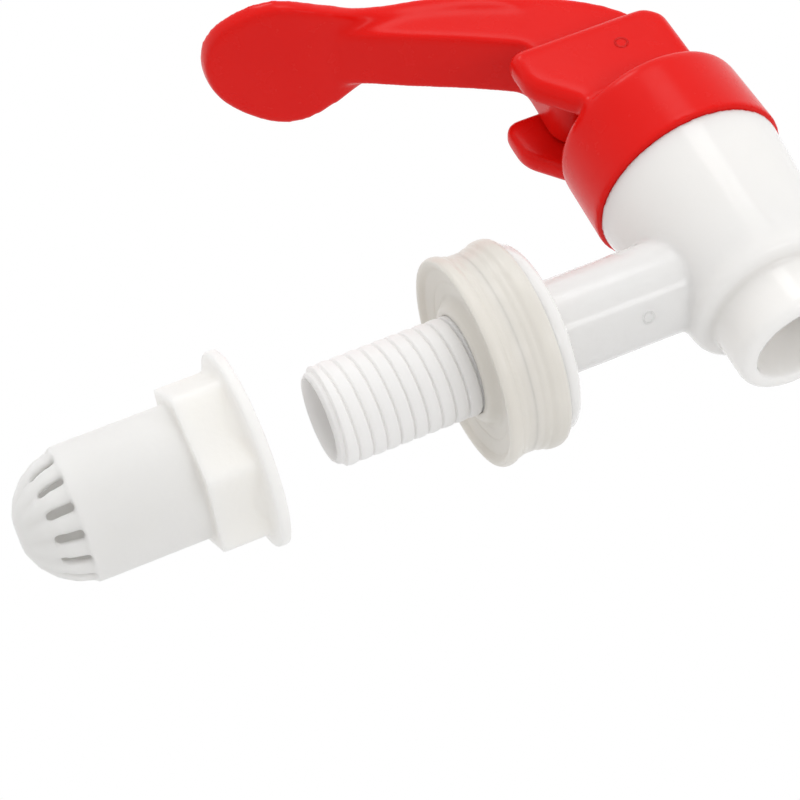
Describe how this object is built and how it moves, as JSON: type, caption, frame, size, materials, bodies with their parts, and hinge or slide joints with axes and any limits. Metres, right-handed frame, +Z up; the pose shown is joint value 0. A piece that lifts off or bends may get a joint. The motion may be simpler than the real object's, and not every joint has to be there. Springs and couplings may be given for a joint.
{
  "type": "bottle tap",
  "caption": "Plastic lever tap for a bottle or dispenser, with a threaded shank, clear washers and a strainer back nut.",
  "frame": {"origin": "centre of the shank flange's sealing face, on the shank axis", "axes": "+Y along the shank from the barrel to the threaded end, +Z up the barrel to the lever, X across the tap"},
  "size_m": [0.0338, 0.1362, 0.0949],
  "materials": {
    "white_plastic": "white moulded plastic, soft gloss",
    "red_plastic": "red moulded plastic, gloss",
    "stem_plastic": "white moulded plastic",
    "silicone": "milky silicone",
    "spring_steel": "drawn stainless wire",
    "clear_silicone": "translucent silicone",
    "nut_plastic": "white moulded plastic, satin"
  },
  "bodies": {
    "tap": {"tap_body": "white_plastic", "bonnet": "red_plastic", "cap_seal": "silicone", "stem_seal": "silicone", "return_spring": "spring_steel", "outer_washer": "clear_silicone", "inner_washer": "clear_silicone"},
    "lever": {"lever": "red_plastic"},
    "stem": {"valve_stem": "stem_plastic", "seat_plug": "silicone"},
    "nut": {"strainer_nut": "nut_plastic"}
  },
  "joints": [
    {"name": "lever_tilt", "type": "hinge", "parent": "tap", "child": "lever", "pos_m": [0, -0.0301, 0.04], "axis": [-1, 0, 0], "range_deg": [0, 20], "stiffness_Nm_per_rad": 0.1, "springref_deg": -20.05},
    {"name": "stem_lift", "type": "slide", "parent": "tap", "child": "stem", "axis": [0, 0, 1], "range_m": [0, 0.003], "deforming": ["return_spring"]},
    {"name": "nut_travel", "type": "slide", "parent": "tap", "child": "nut", "axis": [0, -1, 0], "range_m": [0, 0.0336]}
  ],
  "couplings": [
    {"joint": "stem_lift", "follows": "lever_tilt", "m_per_rad": 0.0085876}
  ]
}
